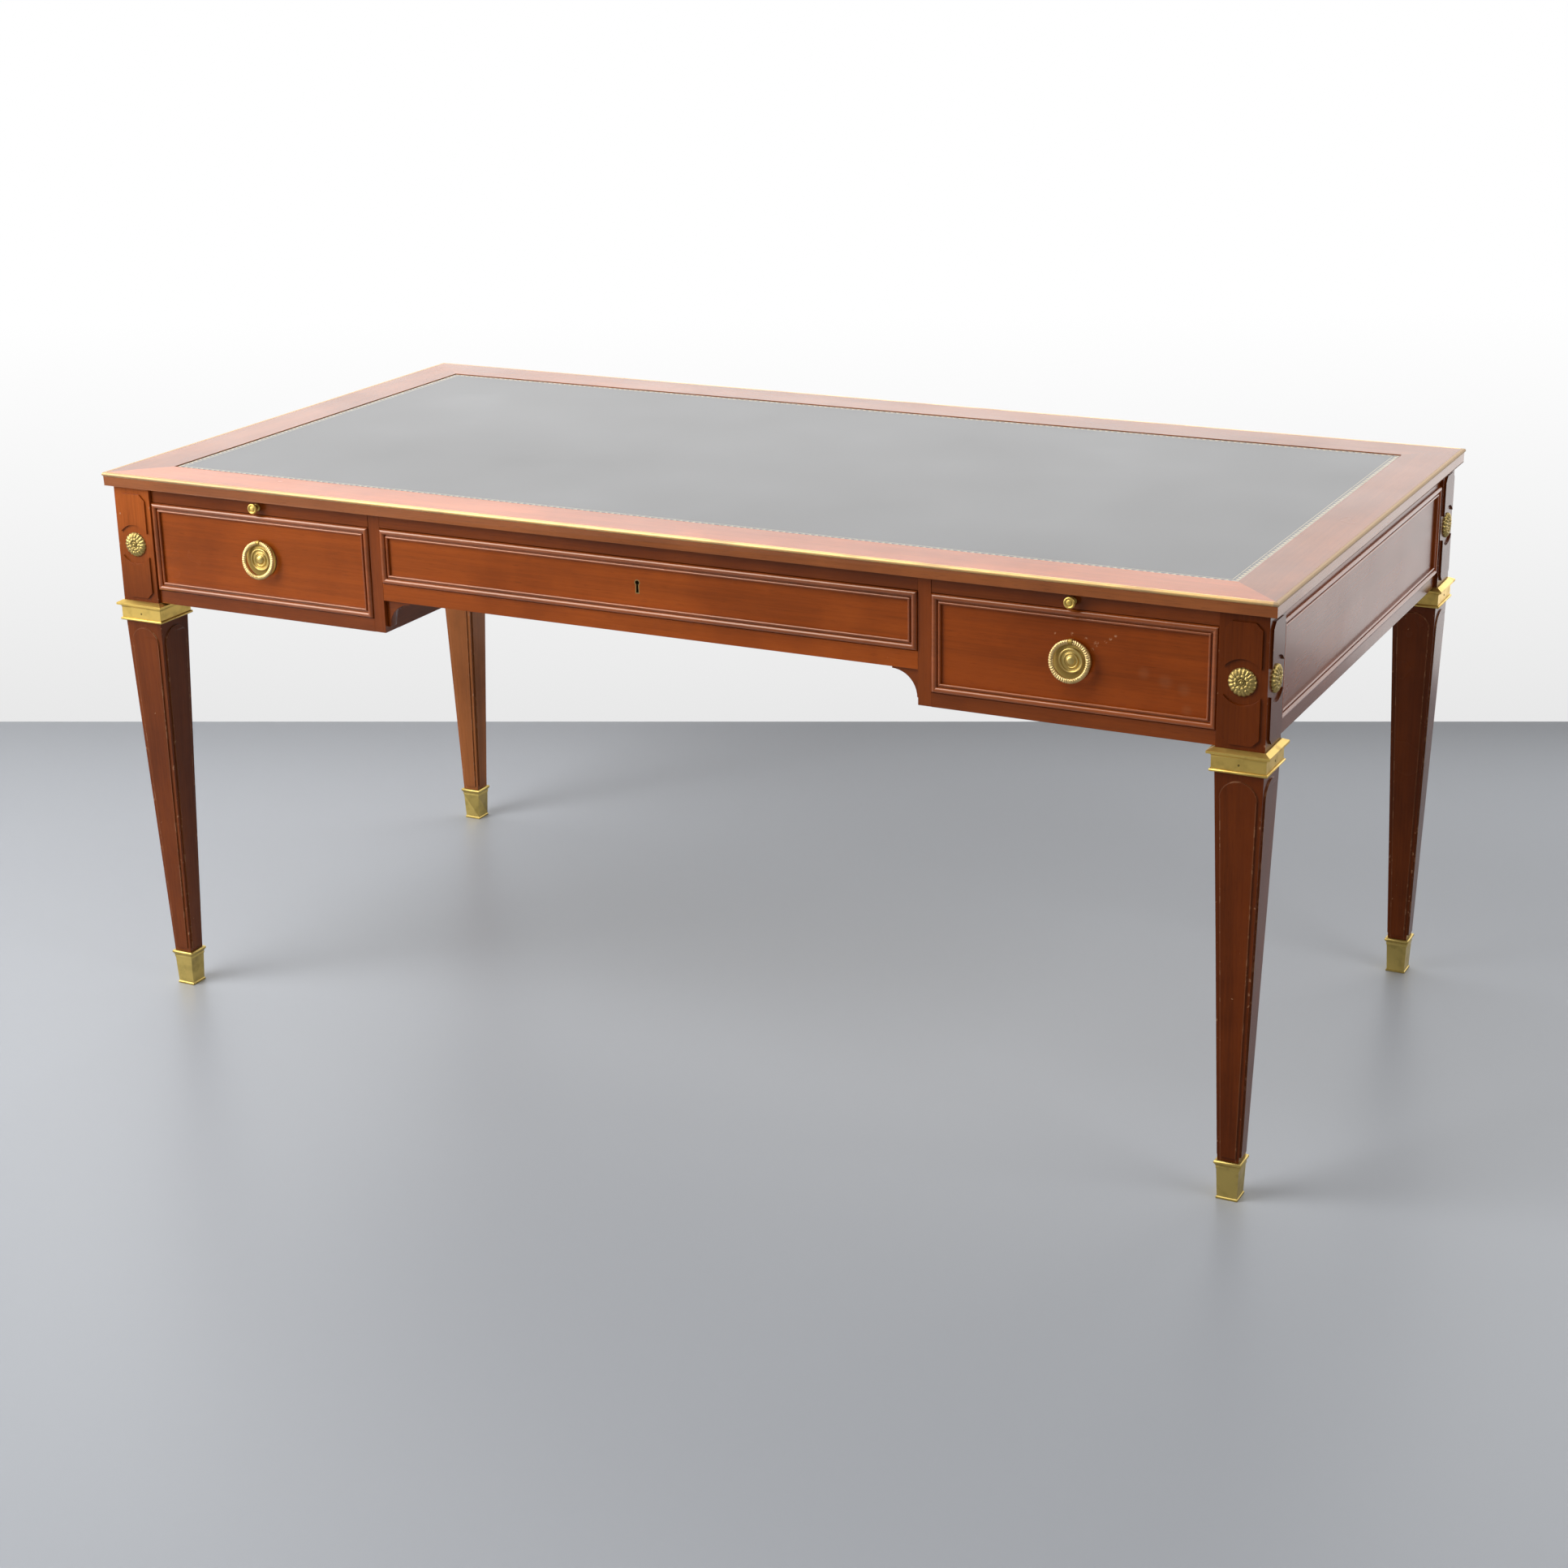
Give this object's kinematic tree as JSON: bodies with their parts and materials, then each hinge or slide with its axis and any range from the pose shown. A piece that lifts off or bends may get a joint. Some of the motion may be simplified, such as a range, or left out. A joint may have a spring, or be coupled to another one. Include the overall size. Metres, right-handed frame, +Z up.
{
  "type": "executive desk",
  "caption": "Executive writing desk on tapered legs with brass feet and collars, frieze drawers with ring pulls, pull-out writing slides and a leather-lined, brass-edged top",
  "frame": {"origin": "On the floor under the middle of the top", "axes": "X along the front to the right of someone who sits at the desk, Y from the front to the back, Z up"},
  "size_m": [1.655, 0.841, 0.76],
  "materials": {
    "mahogany": "red-brown mahogany, French polished",
    "oak": "plain oak of the drawer linings, unpolished",
    "leather": "dark charcoal leather with a satin sheen and a gilt tooled line",
    "brass": "cast and turned brass, worn gilding",
    "steel": "plain lock steel"
  },
  "bodies": {
    "carcase": {"back_mouldings": "mahogany", "back_panels": "mahogany", "bottom_rails": "mahogany", "brass_edge": "brass", "center_rail": "mahogany", "collar_back_left": "brass", "collar_back_right": "brass", "collar_front_left": "brass", "collar_front_right": "brass", "drawer_runners": "oak", "drawer_stops": "oak", "glue_blocks": "oak", "kneehole_brackets": "mahogany", "leather_inset": "leather", "leg_back_left": "mahogany", "leg_back_right": "mahogany", "leg_front_left": "mahogany", "leg_front_right": "mahogany", "partition_left": "mahogany", "partition_right": "mahogany", "rosettes": "brass", "sabot_back_left": "brass", "sabot_back_right": "brass", "sabot_front_left": "brass", "sabot_front_right": "brass", "side_mouldings": "mahogany", "side_panel_left": "mahogany", "side_panel_right": "mahogany", "slide_bearers": "oak", "stile_left": "mahogany", "stile_right": "mahogany", "top_border": "mahogany", "top_core": "oak", "top_rail": "mahogany"},
    "drawer_left": {"drawer_left_front": "mahogany", "drawer_left_moulding": "mahogany", "drawer_left_sides": "oak", "drawer_left_back": "oak", "drawer_left_bottom": "oak", "pull_plate_left": "brass"},
    "drawer_right": {"drawer_right_front": "mahogany", "drawer_right_moulding": "mahogany", "drawer_right_sides": "oak", "drawer_right_back": "oak", "drawer_right_bottom": "oak", "pull_plate_right": "brass"},
    "drawer_center": {"drawer_center_front": "mahogany", "drawer_center_moulding": "mahogany", "drawer_center_sides": "oak", "drawer_center_back": "oak", "drawer_center_bottom": "oak", "lock_case": "steel", "keyhole_liner": "brass"},
    "slide_left": {"slide_left": "mahogany", "slide_knob_left": "brass"},
    "ring_left": {"pull_ring_left": "brass"},
    "slide_right": {"slide_right": "mahogany", "slide_knob_right": "brass"},
    "ring_right": {"pull_ring_right": "brass"},
    "lock_bolt": {"lock_bolt": "steel"}
  },
  "joints": [
    {"name": "drawer_left_slide", "type": "slide", "parent": "carcase", "child": "drawer_left", "axis": [0, -1, 0], "range_m": [0, 0.38]},
    {"name": "drawer_right_slide", "type": "slide", "parent": "carcase", "child": "drawer_right", "axis": [0, -1, 0], "range_m": [0, 0.38]},
    {"name": "drawer_center_slide", "type": "slide", "parent": "carcase", "child": "drawer_center", "axis": [0, -1, 0], "range_m": [0, 0.38]},
    {"name": "slide_left_pull", "type": "slide", "parent": "carcase", "child": "slide_left", "axis": [0, -1, 0], "range_m": [0, 0.33]},
    {"name": "slide_right_pull", "type": "slide", "parent": "carcase", "child": "slide_right", "axis": [0, -1, 0], "range_m": [0, 0.33]},
    {"name": "ring_left_swing", "type": "hinge", "parent": "drawer_left", "child": "ring_left", "pos_m": [-0.579, -0.4105, 0.68425], "axis": [-1, 0, 0], "range_deg": [-8, 112]},
    {"name": "ring_right_swing", "type": "hinge", "parent": "drawer_right", "child": "ring_right", "pos_m": [0.579, -0.4105, 0.68425], "axis": [-1, 0, 0], "range_deg": [-8, 112]},
    {"name": "lock_bolt_throw", "type": "slide", "parent": "drawer_center", "child": "lock_bolt", "axis": [0, 0, 1], "range_m": [0, 0.008]}
  ]
}
